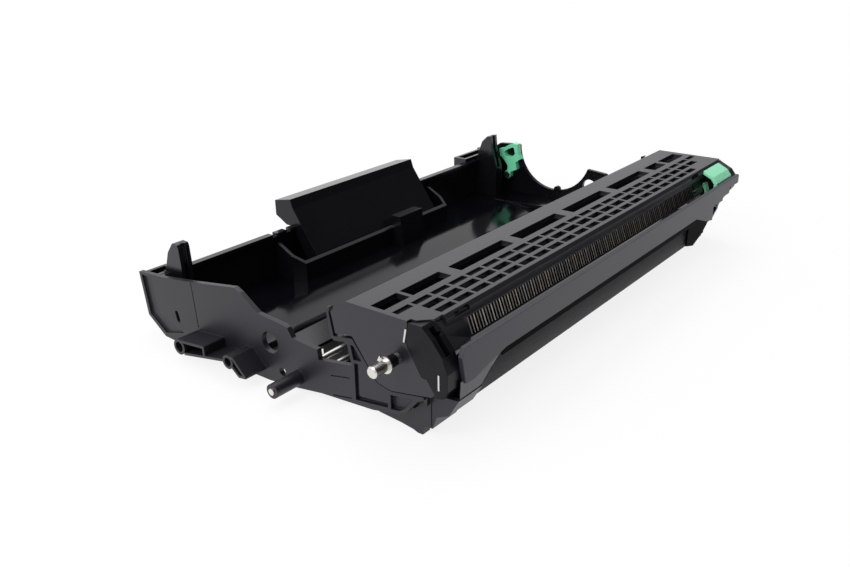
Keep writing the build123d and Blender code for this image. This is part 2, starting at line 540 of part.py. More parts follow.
def end_holder(side):
    """Block that carries one end of the corona wire, in the corner of the cover."""
    front = GUIDE_Y + GUIDE_T
    if side > 0:
        width = FAR_HOLDER_W
        outline = [(-31.0, -0.6), (-38.6, -0.6), (-40.1, -1.5), (-46.3, -4.6), (-48.7, -7.6), (front, -8.6),
                   (front, -15.2), (-45.5, -20.0), (-42.4, -25.3), (-41.7, -25.3), (-39.7, -21.4)]
    else:
        width = HOLDER_W
        outline = [(-31.0, -0.6), (-37.2, -0.6), (-42.0, -5.0), (-46.5, -10.5), (front, -17.0),
                   (front, -24.0), (-47.0, -27.4), (-43.4, -28.4), (-43.2, -27.2), (-39.7, -21.4)]
    outline += [(-37.2, -21.2), (-31.3, -12.2), (-29.3, -8.0), (-30.8, -2.0)]
    x0, x1 = ordered(side * (X_FAR - width), side * X_FAR)
    body = prism_x(outline, x0, x1)
    if side < 0:
        top = [(X_NEAR + 0.1, -30.9), (X_NEAR + 7.1, -37.9), (X_NEAR + 20.0, -37.9),
               (X_NEAR + 20.0, -20.0), (X_NEAR + 0.1, -20.0)]
        opening = [(-37.1, -2.7), (-37.5, -7.4), (-40.1, -14.0), (-41.9, -13.8), (-46.0, -11.7),
                   (-50.0, -8.0), (-46.0, -3.0), (-41.0, 0.0)]
        body -= prism_x(opening, X_NEAR + 2.4, X_NEAR + 5.6)
        body -= prism_x([(-37.9, -5.6), (-40.6, -8.1), (-41.6, -3.0)], X_NEAR + 5.0, X_NEAR + 6.8)
    else:
        top = [(X_FAR + 1.0, -38.5), (X_FAR - 20.0, -38.5), (X_FAR - 20.0, -20.0), (X_FAR + 1.0, -20.0)]
        body -= block(X_FAR - width - 1, X_FAR - PLATE_T + SEAM, -39.9, -38.0, COMB_HIGH[1] - 0.7, 1.0)
    body -= prism_z(top, -COVER_T - SEAM, 1.0)
    y, z = polar(WIRE_DIST, CORONA_ANGLE)
    x0, x1 = ordered(side * (X_FAR - width - 1.0), side * (X_FAR - width + WIRE_SEAT))
    return body - rod_x(y, z, WIRE_D / 2, x0, x1)


def corona_wire():
    y, z = polar(WIRE_DIST, CORONA_ANGLE)
    return rod_x(y, z, WIRE_D / 2, X_NEAR + HOLDER_W - WIRE_SEAT, X_FAR - FAR_HOLDER_W + WIRE_SEAT)


def corona_grid():
    """Perforated strip between the wire and the drum, with its two edges bent outward."""
    sketch = Rectangle(2 * (X_FAR - HOLDER_W), GRID_W)
    count = int((DRUM_LEN - 16.0) / GRID_PITCH)
    sketch -= GridLocations(GRID_PITCH, 1, count, 1) * Rectangle(GRID_PITCH - 1.0, GRID_W - 2.0)
    y, z = polar(GRID_DIST, CORONA_ANGLE)
    a = radians(CORONA_ANGLE)
    plane = Plane(origin=(0, y, z), x_dir=(1, 0, 0), z_dir=(0, -cos(a), sin(a)))
    return extrude(plane * sketch, GRID_T)


def front_guide():
    """Bar in front of the charger, stepped at its far end."""
    outline = [(X_NEAR + 6.4, -12.0), (X_NEAR + 8.2, GUIDE_TOP_Z), (X_FAR, GUIDE_TOP_Z + 0.6),
               (X_FAR, -12.6), (X_FAR - 13.8, -12.6), (X_FAR - 13.8, -15.8), (X_FAR - 23.6, -15.8),
               (X_FAR - 23.6, -18.0), (X_FAR - 37.6, -18.0), (X_FAR - 37.6, -26.0), (X_FAR - 46.0, -24.6),
               (X_FAR - 62.0, GUIDE_LOW_Z), (X_NEAR + 36.0, GUIDE_LOW_Z), (X_NEAR + 26.0, -21.0), (X_NEAR + 14.0, -23.6),
               (X_NEAR + 8.6, -23.2)]
    bar = prism_y(outline, GUIDE_Y, GUIDE_Y + GUIDE_T)
    back = GUIDE_Y + GUIDE_T
    ledge = [(back - 0.5, -9.9), (back + 1.8, -9.9), (back + 1.8, -11.0), (back - 0.5, -11.8)]
    return bar + prism_x(ledge, X_NEAR + 12.5, X_FAR - HOLDER_W - SEAM)


def cleaner_tab():
    """Sliding tab with an arm that reaches under the comb to the wire."""
    x0, x1 = CLEANER_X0, CLEANER_X0 + CLEANER_W
    top = [(-39.9, -0.9), (-45.9, -3.9), (-48.4, -7.2), (-48.4, -9.6), (-46.9, -9.6), (-46.6, -7.6),
           (-44.9, -5.2), (-40.4, -3.0), (-39.9, -2.8)]
    tab = prism_x(top, x0, x1)
    tab += block(x0 + 6.0, x0 + 10.0, -46.8, -44.6, -16.0, -6.0)
    arm = [(-46.8, -14.6), (-46.8, -16.0), (-39.6, -16.0), (-39.3, -13.6), (-37.9, -11.6),
           (-37.9, -9.8), (-39.5, -9.8), (-40.1, -12.6), (-40.8, -14.6)]
    tab += prism_x(arm, x0 + 6.0, x0 + 10.0)
    tab += block(x0 + 14.0, x0 + 15.6, -46.8, -44.6, -14.0, -6.0)
    y, z = polar(WIRE_DIST, CORONA_ANGLE)
    tab -= rod_x(y, z, 0.45, x0 - 1, x1 + 1)
    return tab


def drum_tube():
    tube = rod_x(DRUM_Y, DRUM_Z, DRUM_D / 2, DRUM_X0, DRUM_X1)
    return tube - rod_x(DRUM_Y, DRUM_Z, DRUM_D / 2 - DRUM_WALL, DRUM_X0 - 1, DRUM_X1 + 1)


def drum_flange_near():
    inner = DRUM_D / 2 - DRUM_WALL
    flange = rod_x(DRUM_Y, DRUM_Z, inner, DRUM_X0, DRUM_X0 + 10)
    flange += rod_x(DRUM_Y, DRUM_Z, DRUM_D / 2 + 0.6, DRUM_X0 - 2.5, DRUM_X0)
    flange -= rod_x(DRUM_Y, DRUM_Z, SHAFT_D / 2 + FIT, DRUM_X0 - 4, DRUM_X0 + 12)
    flange -= rod_x(DRUM_Y, DRUM_Z, inner - 2.0, DRUM_X0 + 3, DRUM_X0 + 12)
    return flange


def gear_blank(teeth, turn):
    """Spur gear face about the origin, the first tooth turned by this many degrees."""
    pitch_r = GEAR_MODULE * teeth / 2
    tip_r = pitch_r + GEAR_MODULE * 0.94
    root_r = pitch_r - GEAR_MODULE * 1.2
    step = 360.0 / teeth
    tip, flank, base = step * 0.105, step * 0.225, step * 0.31
    points = []
    for i in range(teeth):
        a = turn + i * step
        for r, d in ((root_r, -base), (pitch_r, -flank), (tip_r, -tip), (tip_r, tip), (pitch_r, flank),
                     (root_r, base)):
            points.append((r * cos(radians(a + d)), r * sin(radians(a + d))))
    return make_face(Polyline(*points, close=True))


def gear_at(teeth, turn, y, z):
    """A gear in the plane across X, with its angles measured from +Y towards +Z."""
    plane = Plane(origin=(GEAR_X0, y, z), x_dir=(0, 1, 0), z_dir=(1, 0, 0))
    return extrude(plane * gear_blank(teeth, turn), GEAR_W)


def drum_gear():
    mesh_angle = -90.0 - NIP_ANGLE
    gear = gear_at(DRUM_TEETH, mesh_angle, DRUM_Y, DRUM_Z)
    inner = DRUM_D / 2 - DRUM_WALL
    gear += rod_x(DRUM_Y, DRUM_Z, inner, DRUM_X1 - 10, DRUM_X1 + 0.2)
    gear += rod_x(DRUM_Y, DRUM_Z, inner - 1.0, DRUM_X1, GEAR_X0 + 0.5)
    gear -= rod_x(DRUM_Y, DRUM_Z, SHAFT_D / 2 + FIT, DRUM_X1 - 12, GEAR_X0 + GEAR_W + 1)
    gear -= rod_x(DRUM_Y, DRUM_Z, inner - 2.0, DRUM_X1 - 12, DRUM_X1 - 3)
    ring = rod_x(DRUM_Y, DRUM_Z, 9.8, GEAR_X0 + GEAR_W - 3, GEAR_X0 + GEAR_W + 1)
    return gear - (ring - rod_x(DRUM_Y, DRUM_Z, 4.5, GEAR_X0 + GEAR_W - 4, GEAR_X0 + GEAR_W + 2))


def transfer_gear():
    step = 360.0 / ROLLER_TEETH
    gear = gear_at(ROLLER_TEETH, 90.0 - NIP_ANGLE + step / 2, ROLLER_Y, ROLLER_Z)
    return gear - rod_x(ROLLER_Y, ROLLER_Z, ROLLER_SHAFT_D / 2, GEAR_X0 - 1, GEAR_X0 + GEAR_W + 1)


def drum_shaft():
    tip = rod_x(DRUM_Y, DRUM_Z, SHAFT_TIP_D / 2, X_NEAR - SHAFT_OUT, X_NEAR - SHAFT_GROOVE)
    tip = chamfer(tip.edges().group_by(Axis.X)[0], TIP_CHAMFER)
    shaft = tip + rod_x(DRUM_Y, DRUM_Z, SHAFT_D / 2, X_NEAR - SHAFT_GROOVE, X_FAR + 1.0)
    groove = rod_x(DRUM_Y, DRUM_Z, SHAFT_D, X_NEAR - SHAFT_GROOVE, X_NEAR - SHAFT_GROOVE + 0.8)
    return shaft - (groove - rod_x(DRUM_Y, DRUM_Z, SHAFT_D / 2 - 0.5, X_NEAR - 3, X_NEAR))


def shaft_clip():
    """Retaining ring in the shaft's groove, open at the front."""
    ring = rod_x(DRUM_Y, DRUM_Z, 5.0, X_NEAR - 1.5, X_NEAR - 0.9)
    ring -= rod_x(DRUM_Y, DRUM_Z, SHAFT_D / 2 - 0.5, X_NEAR - 3, X_NEAR)
    return ring - block(X_NEAR - 3, X_NEAR, DRUM_Y - 9.0, DRUM_Y, DRUM_Z - 1.6, DRUM_Z + 1.6)


def ground_tab():
    """Thin pointed spring plate that bears on the shaft at the near plate."""
    outline = [(DRUM_Y - 1.0, DRUM_Z + 2.6), (DRUM_Y + 5.4, DRUM_Z + 2.6), (DRUM_Y + 4.4, DRUM_Z + 4.6),
               (DRUM_Y + 3.4, DRUM_Z + 6.8), (DRUM_Y + 2.0, DRUM_Z + 5.2)]
    return prism_x(outline, X_NEAR - 0.5, X_NEAR)


def transfer_core():
    return rod_x(ROLLER_Y, ROLLER_Z, ROLLER_SHAFT_D / 2, -INNER_X + 0.8, FAR_WALL_X - 0.8)


def transfer_foam():
    foam = rod_x(ROLLER_Y, ROLLER_Z, FOAM_D / 2, FOAM_X0, FOAM_X1)
    return foam - rod_x(ROLLER_Y, ROLLER_Z, ROLLER_SHAFT_D / 2, FOAM_X0 - 1, FOAM_X1 + 1)


def transfer_bearing(side):
    outer = FAR_WALL_X if side > 0 else INNER_X
    x0, x1 = ordered(side * outer, side * (outer - BEARING_T))
    body = block(x0, x1, ROLLER_Y - BEARING_W / 2, ROLLER_Y + BEARING_W / 2,
                 ROLLER_Z - BEARING_LOW, ROLLER_Z + BEARING_UP)
    return body - rod_x(ROLLER_Y, ROLLER_Z, ROLLER_SHAFT_D / 2 + FIT, x0 - 1, x1 + 1)


def transfer_spring(side):
    """Short coil between the sill and the bearing."""
    low = SILL_Z + SPRING_WIRE / 2
    high = ROLLER_Z - BEARING_LOW - SPRING_WIRE / 2
    radius = (SPRING_D - SPRING_WIRE) / 2
    path = Helix((high - low) / 3, high - low, radius)
    wire = sweep(Plane(path @ 0, z_dir=path % 0) * Circle(SPRING_WIRE / 2), path=path)
    outer = FAR_WALL_X if side > 0 else INNER_X
    return Pos(side * (outer - BEARING_T / 2 - 0.4), ROLLER_Y, low) * wire


def pinch_roller():
    end = X_FAR - ENTRY_SHAFT_IN
    return rod_x(PINCH_Y, PINCH_Z, PINCH_D / 2, -end, end)


def guide_rod():
    end = X_FAR - ENTRY_SHAFT_IN
    return rod_x(STAY_Y, STAY_Z, STAY_D / 2, -end, end)


def pinch_bush(side):
    x0, x1 = ordered(side * (X_FAR - BUSH_X), side * (X_FAR - BUSH_X - WALL_T))
    bush = rod_x(PINCH_Y, PINCH_Z, BUSH_R, x0, x1)
    return bush - rod_x(PINCH_Y, PINCH_Z, PINCH_D / 2 + FIT, x0 - 1, x1 + 1)


def ground_pin():
    y, z, _, bore = PIN_BOSS
    return rod_x(y, z, bore, X_NEAR - PIN_BOSS_OUT - 0.6, X_NEAR - 0.2)


def wire_contact():
    """Steel strip let into the front of the near holder."""
    return block(X_NEAR - 0.2, X_NEAR + 0.8, -45.3, -44.6, -24.4, -18.0)


def grid_contact():
    """Steel strip at the seam between the near cover plate and the holder."""
    strip = [(-29.6, -3.4), (-30.4, -3.4), (-29.3, -9.0), (-28.6, -9.0)]
    return prism_x(strip, X_NEAR - 0.3, X_NEAR + 3.0)


def lock_lever():
    """Hooked lever that clips the toner cartridge in, on the inside of the far plate."""
    outline = [(114.9, -13.4), (111.2, -12.4), (108.1, -10.2), (104.0, -8.3), (100.3, -8.7),
               (99.6, -15.3), (97.5, -18.6), (101.5, -21.5), (100.4, -26.3), (105.6, -29.0),
               (106.6, -32.0), (110.2, -33.4), (108.7, -29.5), (107.8, -24.7), (111.1, -20.6),
               (114.3, -18.3)]
    lever = prism_x(outline, X_FAR - PLATE_T - 4.3, X_FAR - PLATE_T - 0.3)
    eye = [(111.0, -15.2), (107.6, -12.6), (103.4, -11.0), (102.0, -15.4), (104.6, -18.2), (109.8, -17.8)]
    lever -= prism_x(eye, X_FAR - 10, X_FAR)
    lever += rod_x(LEVER_Y, LEVER_Z, 2.8, X_FAR - PLATE_T - 4.3, X_FAR - PLATE_T - 0.3)
    return lever - rod_x(LEVER_Y, LEVER_Z, LEVER_PIN_D / 2 + FIT, X_FAR - 10, X_FAR)


def lever_pin():
    pin = rod_x(LEVER_Y, LEVER_Z, LEVER_PIN_D / 2, X_FAR - PLATE_T - 4.6, X_FAR)
    return pin + rod_x(LEVER_Y, LEVER_Z, LEVER_PIN_D / 2 + 1.2, X_FAR - PLATE_T - 5.4, X_FAR - PLATE_T - 4.6)


def pieces():
    """Every piece by node name, in the frame the pieces are drawn in."""
    made = {
        "tray_floor": floor(),
        "side_plate_near": near_plate(),
        "side_plate_far": far_plate(),
        "rear_wall": rear_wall(),
        "handle": handle(),
        "lower_frame": lower_frame(),
        "entry_rib_near": entry_rib(-1),
        "entry_rib_far": entry_rib(1),
        "drum_cover": drum_cover(),
        "corona_end_near": end_holder(-1),
        "corona_end_far": end_holder(1),
        "corona_wire": corona_wire(),
        "corona_grid": corona_grid(),
        "front_guide": front_guide(),
        "cleaner_tab": cleaner_tab(),
        "drum_tube": drum_tube(),
        "drum_flange_near": drum_flange_near(),
        "drum_gear": drum_gear(),
        "drum_shaft": drum_shaft(),
        "shaft_clip": shaft_clip(),
        "ground_tab": ground_tab(),
        "transfer_core": transfer_core(),
        "transfer_foam": transfer_foam(),
        "transfer_gear": transfer_gear(),
        "transfer_bearing_near": transfer_bearing(-1),
        "transfer_bearing_far": transfer_bearing(1),
        "transfer_spring_near": transfer_spring(-1),
        "transfer_spring_far": transfer_spring(1),
        "pinch_roller": pinch_roller(),
        "guide_rod": guide_rod(),
        "pinch_bush_near": pinch_bush(-1),
        "pinch_bush_far": pinch_bush(1),
        "ground_pin": ground_pin(),
        "wire_contact": wire_contact(),
        "grid_contact": grid_contact(),
        "lock_lever": lock_lever(),
        "lever_pin": lever_pin(),
    }
    for name in ("wire_contact", "grid_contact"):
        made["corona_end_near"] -= made[name]
        made["drum_cover"] -= made[name]
    return made


def origin_of(made):
    """Bottom centre of the box round every piece."""
    boxes = [piece.bounding_box() for piece in made.values()]
    x0, x1 = min(b.min.X for b in boxes), max(b.max.X for b in boxes)
    y0, y1 = min(b.min.Y for b in boxes), max(b.max.Y for b in boxes)
    z0 = min(b.min.Z for b in boxes)
    return ((x0 + x1) / 2, (y0 + y1) / 2, z0)


def main():
    os.makedirs("parts", exist_ok=True)
    made = pieces()
    x, y, z = origin_of(made)
    for name, piece in made.items():
        export_step(Pos(-x, -y, -z) * piece, f"parts/{name}.step")
    print("origin", x, y, z)


if __name__ == "__main__":
    main()
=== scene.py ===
import math

import bmesh
import bpy
from mathutils import Matrix, Vector

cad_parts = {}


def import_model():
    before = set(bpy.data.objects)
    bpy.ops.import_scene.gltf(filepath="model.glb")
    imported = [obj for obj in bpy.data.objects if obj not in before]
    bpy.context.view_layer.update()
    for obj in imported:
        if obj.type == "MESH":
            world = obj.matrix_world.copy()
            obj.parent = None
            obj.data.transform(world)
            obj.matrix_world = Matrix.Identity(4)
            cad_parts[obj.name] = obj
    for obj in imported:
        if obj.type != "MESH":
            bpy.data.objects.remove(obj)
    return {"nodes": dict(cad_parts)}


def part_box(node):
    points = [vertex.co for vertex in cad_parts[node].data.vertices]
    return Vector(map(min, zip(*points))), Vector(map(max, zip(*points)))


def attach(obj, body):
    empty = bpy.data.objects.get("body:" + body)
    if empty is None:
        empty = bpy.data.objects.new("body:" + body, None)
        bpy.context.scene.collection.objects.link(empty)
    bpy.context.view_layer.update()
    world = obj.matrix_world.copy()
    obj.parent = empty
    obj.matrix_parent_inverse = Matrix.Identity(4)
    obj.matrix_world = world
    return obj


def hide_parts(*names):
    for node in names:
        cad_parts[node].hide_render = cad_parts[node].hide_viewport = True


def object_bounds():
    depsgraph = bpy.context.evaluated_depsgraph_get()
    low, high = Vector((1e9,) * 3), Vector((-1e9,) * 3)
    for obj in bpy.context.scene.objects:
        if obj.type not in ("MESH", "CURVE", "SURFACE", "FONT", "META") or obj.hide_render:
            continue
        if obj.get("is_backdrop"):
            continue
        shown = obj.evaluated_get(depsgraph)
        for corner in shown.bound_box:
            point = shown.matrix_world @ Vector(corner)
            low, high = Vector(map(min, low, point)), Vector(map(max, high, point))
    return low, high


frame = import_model()
low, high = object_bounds()

# The near end of the drum cover's rear ridge, on its top. The camera and every piece are placed from it in
# millimetres: x along the drum from the near plate's outer face, y back over the tray, z up.
CORNER_BACK = 8.5       # millimetres from the cover's rear edge to the ridge
cover_low, cover_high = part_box("drum_cover")
NEAR_CORNER = Vector((cover_low[0], cover_high[1] - CORNER_BACK / 1000, cover_high[2]))


def place(x, y, z):
    """A point in metres, from millimetres measured from the near corner."""
    return NEAR_CORNER + Vector((x, y, z)) / 1000


# Camera, fitted to the photo
FOCAL_PX, PHOTO_W = 877.3, 850
SENSOR_MM = 36.0
AZIMUTH, ELEVATION, ROLL = -51.8, 22.54, -1.03      # degrees
CAMERA_MM = (-225.0, -216.4, 135.9)
CLIP_NEAR, CLIP_FAR = 0.01, 20.0        # metres


def camera():
    """The photo's camera."""
    data = bpy.data.cameras.new("camera")
    cam = bpy.data.objects.new("camera", data)
    bpy.context.scene.collection.objects.link(cam)
    az, el, roll = (math.radians(v) for v in (AZIMUTH, ELEVATION, ROLL))
    back = Vector((math.sin(az) * math.cos(el), -math.cos(az) * math.cos(el), math.sin(el)))
    right = (-back).cross(Vector((0, 0, 1))).normalized()
    up = right.cross(-back)
    right, up = (right * math.cos(roll) + up * math.sin(roll), up * math.cos(roll) - right * math.sin(roll))
    pose = Matrix((right, up, back)).transposed().to_4x4()
    pose.translation = place(*CAMERA_MM)
    cam.matrix_world = pose
    data.sensor_width = SENSOR_MM
    data.lens = FOCAL_PX / PHOTO_W * SENSOR_MM
    data.clip_start, data.clip_end = CLIP_NEAR, CLIP_FAR
    bpy.context.scene.camera = cam


def set_inputs(node, **values):
    """Sets input sockets; an underscore in a key stands for the space in the socket's name."""
    for key, value in values.items():
        node.inputs[key.replace("_", " ")].default_value = value


class Nodes:
    """A node tree under construction: short calls add nodes and link them."""

    def __init__(self, tree):
        self.tree = tree

    def node(self, kind, **values):
        """A new node. Each value is for the input of that name or, where there is none, for the property."""
        made = self.tree.nodes.new(kind)
        for key, value in values.items():
            if key in made.inputs:
                made.inputs[key].default_value = value
            else:
                setattr(made, key, value)
        return made

    def link(self, source, output, target, socket):
        self.tree.links.new(source.outputs[output], target.inputs[socket])

    def noise(self, scale, detail, roughness, stretch=(1, 1, 1)):
        """Noise in the object's coordinates."""
        coords = self.node("ShaderNodeTexCoord")
        mapping = self.node("ShaderNodeMapping")
        mapping.inputs["Scale"].default_value = stretch
        noise = self.node("ShaderNodeTexNoise", Scale=scale, Detail=detail, Roughness=roughness)
        self.link(coords, "Object", mapping, "Vector")
        self.link(mapping, "Vector", noise, "Vector")
        return noise

    def ramp(self, source, output, stops):
        """Colour ramp through the stops, each a position and a colour."""
        stops = list(stops)
        ramp = self.node("ShaderNodeValToRGB")
        while len(ramp.color_ramp.elements) < len(stops):
            ramp.color_ramp.elements.new(0.5)
        for element, (position, colour) in zip(ramp.color_ramp.elements, stops):
            element.position = position
            element.color = (*colour, 1.0)
        self.link(source, output, ramp, "Fac")
        return ramp

    def remap(self, source, output, **ends):
        """A value moved to another range, with keys such as From_Min and To_Max."""
        remap = self.node("ShaderNodeMapRange")
        set_inputs(remap, **ends)
        self.link(source, output, remap, "Value")
        return remap

    def bump(self, source, output, strength, distance, under=None):
        bump = self.node("ShaderNodeBump", Strength=strength, Distance=distance)
        self.link(source, output, bump, "Height")
        if under:
            self.link(under, "Normal", bump, "Normal")
        return bump

    def rays(self, *kinds):
        """1 for a light path of one of two or more kinds, otherwise 0, as the node's output Value."""
        path = self.node("ShaderNodeLightPath")
        found, output = path, kinds[0]
        for kind in kinds[1:]:
            either = self.node("ShaderNodeMath", operation="MAXIMUM")
            self.link(found, output, either, 0)
            self.link(path, kind, either, 1)
            found, output = either, "Value"
        return found


class Material(Nodes):
    """A material with its Principled shader."""

    def __init__(self, name):
        self.mat = bpy.data.materials.new(name)
        self.mat.use_nodes = True
        super().__init__(self.mat.node_tree)
        self.shader = self.tree.nodes["Principled BSDF"]

    def surface(self, **made):
        """Links made nodes to the shader: a colour to tone, a range to gloss, a bump to normal."""
        for key, output, socket in (("tone", "Color", "Base Color"), ("gloss", "Result", "Roughness"),
                                    ("normal", "Normal", "Normal")):
            if key in made:
                self.link(made[key], output, self.shader, socket)


# Noise: scale, detail and roughness, and the stretch of the last one
CLOUD = (26.0, 4.0, 0.6)
GRAIN = (900.0, 2.0, 0.5)
MARKS = (60.0, 3.0, 0.6)
FINE_MARKS = (2200.0, 2.0, 0.5)
FLOOR_CLOUD = (3.0, 3.0, 0.5)
EDGE_DRIFT = (38.0, 2.0, 0.6, (2.2, 0.2, 0.2))
CELLS_SCALE = 1600.0
# Where the darker and the lighter tone are reached
CLOUD_STOPS, MARK_STOPS, CELL_STOPS = (0.3, 0.7), (0.35, 0.65), (0.1, 0.6)
# Bumps: strength and, in metres, distance
MARK_BUMP, CELL_BUMP, EDGE_BUMP = (0.04, 0.0001), (0.25, 0.0003), (0.05, 0.0001)
GRAIN_DEEP = 0.0002
SOFT_EDGE, SOFT_SAMPLES = 0.00035, 6        # radius of the softened edges in metres, and its samples
COOL_GLINT = (0.93, 0.92, 1.0, 1.0)     # slight blue cast of the light on black plastic
DARKER_MARKS = 0.82     # tone of the marks in steel, as a share of its colour


def plastic(name, dark, light, rough, grain, specular=0.5):
    """Moulded plastic: faint cloudy tone, a fine grain, a little change of gloss and softened edges."""
    m = Material(name)
    cloud = m.noise(*CLOUD)
    rounded = m.node("ShaderNodeBevel", Radius=SOFT_EDGE)
    rounded.samples = SOFT_SAMPLES
    m.surface(tone=m.ramp(cloud, "Fac", zip(CLOUD_STOPS, (dark, light))),
              gloss=m.remap(cloud, "Fac", To_Min=rough[0], To_Max=rough[1]),
              normal=m.bump(m.noise(*GRAIN), "Fac", grain, GRAIN_DEEP, under=rounded))
    set_inputs(m.shader, Specular_IOR_Level=specular, Specular_Tint=COOL_GLINT)
    return m.mat


def steel(name, colour, rough=(0.2, 0.34), stretch=(1, 60, 60)):
    """Ground steel with fine marks round the axis, or across it with another stretch."""
    m = Material(name)
    marks = m.noise(*MARKS, stretch)
    darker = tuple(v * DARKER_MARKS for v in colour)
    m.surface(tone=m.ramp(marks, "Fac", zip(MARK_STOPS, (darker, colour))),
              gloss=m.remap(marks, "Fac", To_Min=rough[0], To_Max=rough[1]),
              normal=m.bump(marks, "Fac", *MARK_BUMP))
    set_inputs(m.shader, Metallic=1.0)
    return m.mat


def rubber(name, dark, light):
    """Fine foam: tiny open cells over a soft dark tone."""
    m = Material(name)
    cells = m.node("ShaderNodeTexVoronoi", Scale=CELLS_SCALE)
    m.link(m.node("ShaderNodeTexCoord"), "Object", cells, "Vector")
    m.surface(tone=m.ramp(cells, "Distance", zip(CELL_STOPS, (dark, light))),
              normal=m.bump(cells, "Distance", *CELL_BUMP))
    set_inputs(m.shader, Roughness=0.8, Specular_IOR_Level=0.3)
    return m.mat


# Colours of the painted highlights and reflections on the grid's edges
GLINT_TONES = [(0.30, (0.55, 0.53, 0.49)), (0.42, (0.95, 0.91, 0.83)), (0.52, (0.66, 0.62, 0.57)),
              (0.60, (0.90, 0.76, 0.62)), (0.72, (0.68, 0.80, 0.74))]
EDGE_FADE = (0.06, 0.24)        # metres from the near plate: the painted highlight is bright up to the first, dimmest from the second
EDGE_DIMMEST = 0.12
GROUP_PITCH = 0.0061        # metres between the lines of brighter painted highlight along the comb
GROUP_DIMMEST = 0.4


def painted_glint_steel(name):
    """Edges of the charger's steel grid, coloured with painted highlights and reflections: bright near the
    shaft's end, dimmer and in groups further along.
    """
    m = Material(name)
    tone = m.ramp(m.noise(*EDGE_DRIFT), "Fac", GLINT_TONES)
    split = m.node("ShaderNodeSeparateXYZ")
    m.link(m.node("ShaderNodeTexCoord"), "Object", split, "Vector")
    along = m.remap(split, "X", From_Min=NEAR_CORNER.x + EDGE_FADE[0], From_Max=NEAR_CORNER.x + EDGE_FADE[1],
                    To_Min=1.0, To_Max=EDGE_DIMMEST)
    turns = m.node("ShaderNodeMath", operation="MULTIPLY")
    turns.inputs[1].default_value = 2 * math.pi / GROUP_PITCH
    m.link(split, "X", turns, 0)
    wave = m.node("ShaderNodeMath", operation="SINE")
    m.link(turns, "Value", wave, 0)
    swing = m.remap(wave, "Value", From_Min=-1.0, To_Min=GROUP_DIMMEST)
    both = m.node("ShaderNodeMath", operation="MULTIPLY")
    m.link(along, "Result", both, 0)
    m.link(swing, "Result", both, 1)
    dimmed = m.node("ShaderNodeVectorMath", operation="SCALE")
    m.link(tone, "Color", dimmed, "Vector")
    m.link(both, "Value", dimmed, "Scale")
    m.link(dimmed, "Vector", m.shader, "Base Color")
    m.surface(normal=m.bump(m.noise(*FINE_MARKS), "Fac", *EDGE_BUMP))
    set_inputs(m.shader, Metallic=0.1, Roughness=0.35)
    return m.mat


# Darker and lighter tone, range of roughness, strength of the grain and, where it isn't 0.5, the specular level
PLASTICS = {
    "plate plastic": ((0.009, 0.009, 0.0125), (0.013, 0.013, 0.0165), (0.36, 0.44), 0.06),
    "tray plastic": ((0.0015, 0.0016, 0.0028), (0.003, 0.0031, 0.0045), (0.08, 0.16), 0.02, 0.28),
    "wall plastic": ((0.004, 0.0042, 0.006), (0.006, 0.0063, 0.008), (0.14, 0.22), 0.02, 0.6),
    "cover plastic": ((0.008, 0.008, 0.0115), (0.012, 0.012, 0.0155), (0.27, 0.36), 0.10, 0.6),
    "holder plastic": ((0.004, 0.004, 0.0055), (0.007, 0.007, 0.008), (0.30, 0.38), 0.05, 0.2),
    "shaded plastic": ((0.001, 0.001, 0.0015), (0.002, 0.002, 0.0026), (0.5, 0.6), 0.05, 0.02),
    "handle plastic": ((0.004, 0.0042, 0.006), (0.006, 0.0063, 0.008), (0.14, 0.22), 0.02, 0.35),
    # The guide bar is the same black plastic; its lighter tone is painted light bounced from the floor
    "guide plastic": ((0.025, 0.026, 0.035), (0.030, 0.031, 0.040), (0.38, 0.46), 0.05),
    "film": ((0.045, 0.046, 0.055), (0.055, 0.056, 0.066), (0.18, 0.26), 0.02, 0.7),
    "gear plastic": ((0.02, 0.02, 0.022), (0.03, 0.03, 0.032), (0.35, 0.45), 0.04),
    "green plastic": ((0.34, 0.92, 0.58), (0.38, 0.95, 0.63), (0.26, 0.36), 0.04),
    "lever plastic": ((0.22, 0.88, 0.50), (0.25, 0.92, 0.55), (0.26, 0.36), 0.04),
    "drum coating": ((0.008, 0.013, 0.015), (0.010, 0.016, 0.018), (0.06, 0.1), 0.01),
}
# Colour and, where they aren't the usual ones, the range of roughness and the stretch of the marks
STEELS = {
    "bright steel": ((0.80, 0.78, 0.74),),
    "grid steel": ((0.16, 0.15, 0.14), (0.36, 0.46), (60, 1, 1)),
    "pale pin": ((0.86, 0.82, 0.74), (0.3, 0.42)),
}
FOAM_TONES = (0.060, 0.060, 0.063), (0.085, 0.085, 0.089)
# The CAD nodes of each material
NODES_OF = {
    "plate plastic": ["side_plate_near", "lower_frame", "entry_rib_near", "entry_rib_far"],
    "tray plastic": ["tray_floor"],
    "wall plastic": ["rear_wall"],
    "handle plastic": ["handle", "side_plate_far"],
    "cover plastic": ["drum_cover", "corona_end_far"],
    "holder plastic": ["corona_end_near"],
    "guide plastic": ["front_guide"],
    "green plastic": ["cleaner_tab"],
    "lever plastic": ["lock_lever"],
    "drum coating": ["drum_tube"],
    "gear plastic": ["drum_flange_near", "drum_gear", "transfer_gear", "transfer_bearing_near",
                     "transfer_bearing_far", "pinch_bush_near", "pinch_bush_far"],
    "bright steel": ["corona_wire", "drum_shaft", "shaft_clip", "ground_tab", "transfer_core",
                     "transfer_spring_near", "transfer_spring_far", "pinch_roller", "guide_rod",
                     "wire_contact", "grid_contact", "lever_pin"],
    "grid steel": ["corona_grid"],
    "pale pin": ["ground_pin"],
    "roller foam": ["transfer_foam"],
}


